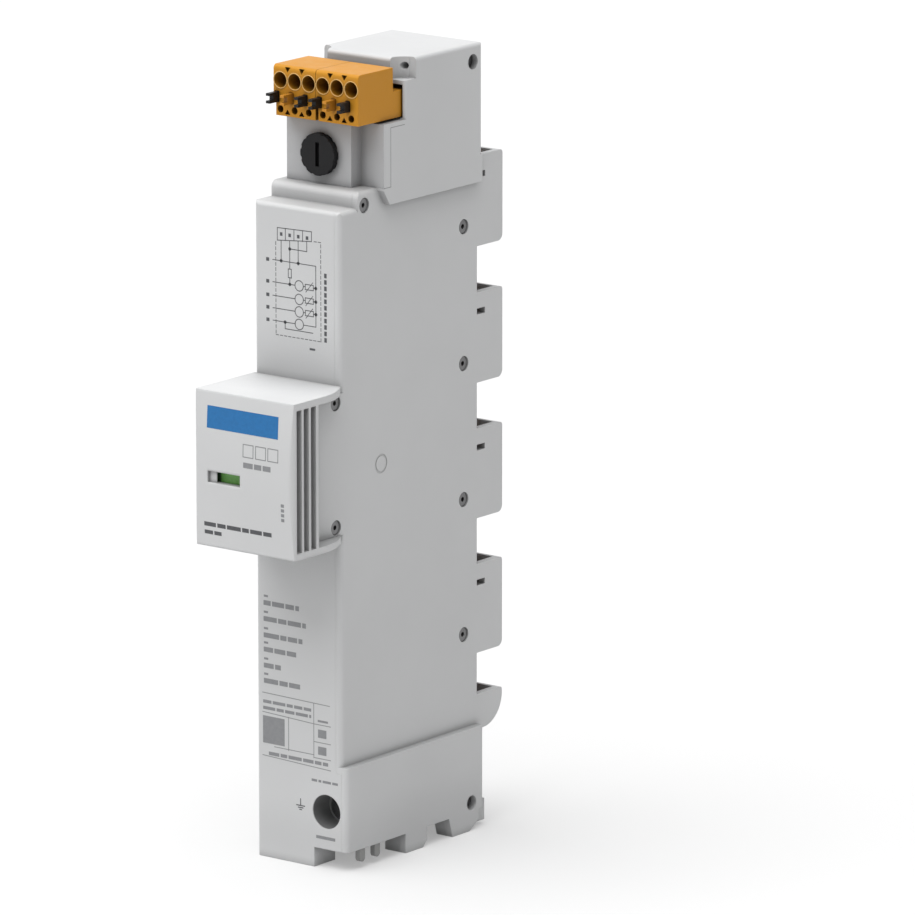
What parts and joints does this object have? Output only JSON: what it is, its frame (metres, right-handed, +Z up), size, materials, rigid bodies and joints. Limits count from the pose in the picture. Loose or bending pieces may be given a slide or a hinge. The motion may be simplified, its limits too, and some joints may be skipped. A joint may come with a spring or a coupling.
{
  "type": "busbar surge arrester",
  "caption": "Tall narrow surge arrester for busbars: riveted grey housing with a grooved nose, status window, hollow rear feet, orange pull-out plugs, a fuse holder and an earth clamp.",
  "frame": {"origin": "on the standing plane, under the middle of the overall outline", "axes": "+X to the right seen from the front, +Y from the front towards the busbars, +Z up"},
  "size_m": [0.0356, 0.1024, 0.2315],
  "materials": {
    "shell_grey": "fine moulded texture",
    "cover_grey": "fine moulded texture",
    "nose_grey": "fine moulded texture",
    "insert_grey": "smooth moulding",
    "plug_orange": "smooth moulding",
    "button_black": "smooth moulding",
    "button_orange": "smooth moulding",
    "cap_black": "fine moulded texture",
    "rivet_steel": "dull plated",
    "tin_plate": "bright tin",
    "screw_steel": "dark plated",
    "copper_strip": "stamped strip",
    "spring_strip": "rolled strip",
    "board_green": "solder mask",
    "header_grey": "smooth moulding",
    "ceramic_pale": "glazed",
    "varistor_blue": "dipped coating",
    "fuse_glass": "clear tube",
    "lead_brown": "insulated",
    "lead_blue": "insulated",
    "trip_white": "smooth moulding",
    "flag_fields": "printed fields"
  },
  "bodies": {
    "housing": {"base_shell": "shell_grey", "side_cover": "cover_grey", "front_cover": "nose_grey", "housing_rivets": "rivet_steel", "terminal_insert": "insert_grey", "pin_header": "header_grey", "header_pins": "tin_plate", "header_board": "board_green", "fuse_contact": "tin_plate", "busbar_clip_1": "copper_strip", "busbar_clip_2": "copper_strip", "busbar_clip_3": "copper_strip", "busbar_clip_4": "copper_strip", "earth_clip": "copper_strip", "varistor_1": "varistor_blue", "varistor_2": "varistor_blue", "varistor_3": "varistor_blue", "spark_gap_1": "ceramic_pale", "spark_gap_2": "ceramic_pale", "spark_gap_3": "ceramic_pale", "neutral_spark_gap": "ceramic_pale", "thermal_spring_1": "spring_strip", "thermal_spring_2": "spring_strip", "thermal_spring_3": "spring_strip", "neutral_bar": "copper_strip", "earth_bar": "copper_strip", "fuse_lead": "lead_brown", "neutral_lead": "lead_blue"},
    "plug_left_body": {"plug_left": "plug_orange", "plug_contacts_left": "tin_plate"},
    "plug_right_body": {"plug_right": "plug_orange", "plug_contacts_right": "tin_plate"},
    "fuse_carrier": {"fuse_tube": "fuse_glass", "fuse_end_caps": "tin_plate"},
    "fuse_knob": {"fuse_cap": "cap_black"},
    "status_slide": {"trip_bar": "trip_white", "status_flag": "flag_fields"},
    "clamp_screw": {"earth_screw": "screw_steel"},
    "clamp_cage": {"earth_cage": "tin_plate"},
    "button_1": {"release_button_1": "button_black"},
    "button_2": {"release_button_2": "button_orange"},
    "button_3": {"release_button_3": "button_black"},
    "button_4": {"release_button_4": "button_black"},
    "button_5": {"release_button_5": "button_orange"},
    "button_6": {"release_button_6": "button_black"}
  },
  "joints": [
    {"name": "plug_left_pull", "type": "slide", "parent": "housing", "child": "plug_left_body", "axis": [0, -1, 0], "range_m": [0, 0.014]},
    {"name": "plug_right_pull", "type": "slide", "parent": "housing", "child": "plug_right_body", "axis": [0, -1, 0], "range_m": [0, 0.014]},
    {"name": "release_button_1_push", "type": "slide", "parent": "plug_left_body", "child": "button_1", "axis": [0, 1, 0], "range_m": [0, 0.002], "stiffness_N_per_m": 900},
    {"name": "release_button_2_push", "type": "slide", "parent": "plug_left_body", "child": "button_2", "axis": [0, 1, 0], "range_m": [0, 0.002], "stiffness_N_per_m": 900},
    {"name": "release_button_3_push", "type": "slide", "parent": "plug_left_body", "child": "button_3", "axis": [0, 1, 0], "range_m": [0, 0.002], "stiffness_N_per_m": 900},
    {"name": "release_button_4_push", "type": "slide", "parent": "plug_right_body", "child": "button_4", "axis": [0, 1, 0], "range_m": [0, 0.002], "stiffness_N_per_m": 900},
    {"name": "release_button_5_push", "type": "slide", "parent": "plug_right_body", "child": "button_5", "axis": [0, 1, 0], "range_m": [0, 0.002], "stiffness_N_per_m": 900},
    {"name": "release_button_6_push", "type": "slide", "parent": "plug_right_body", "child": "button_6", "axis": [0, 1, 0], "range_m": [0, 0.002], "stiffness_N_per_m": 900},
    {"name": "fuse_draw", "type": "slide", "parent": "housing", "child": "fuse_carrier", "axis": [0, -1, 0], "range_m": [0, 0.026]},
    {"name": "fuse_cap_turn", "type": "hinge", "parent": "fuse_carrier", "child": "fuse_knob", "pos_m": [-0.0035, -0.0128, 0.2046], "axis": [0, -1, 0], "range_deg": [0, 90]},
    {"name": "status_flag_trip", "type": "slide", "parent": "housing", "child": "status_slide", "axis": [0, 0, 1], "range_m": [0, 0.0042]},
    {"name": "earth_screw_turn", "type": "hinge", "parent": "housing", "child": "clamp_screw", "pos_m": [0.0077, -0.0148, 0.0169], "axis": [0, 1, 0], "range_deg": [0, 1350]},
    {"name": "earth_cage_close", "type": "slide", "parent": "housing", "child": "clamp_cage", "axis": [0, -1, 0], "range_m": [0, 0.003]}
  ],
  "couplings": [
    {"joint": "earth_screw_turn", "follows": "earth_cage_close", "rad_per_m": 7854}
  ]
}
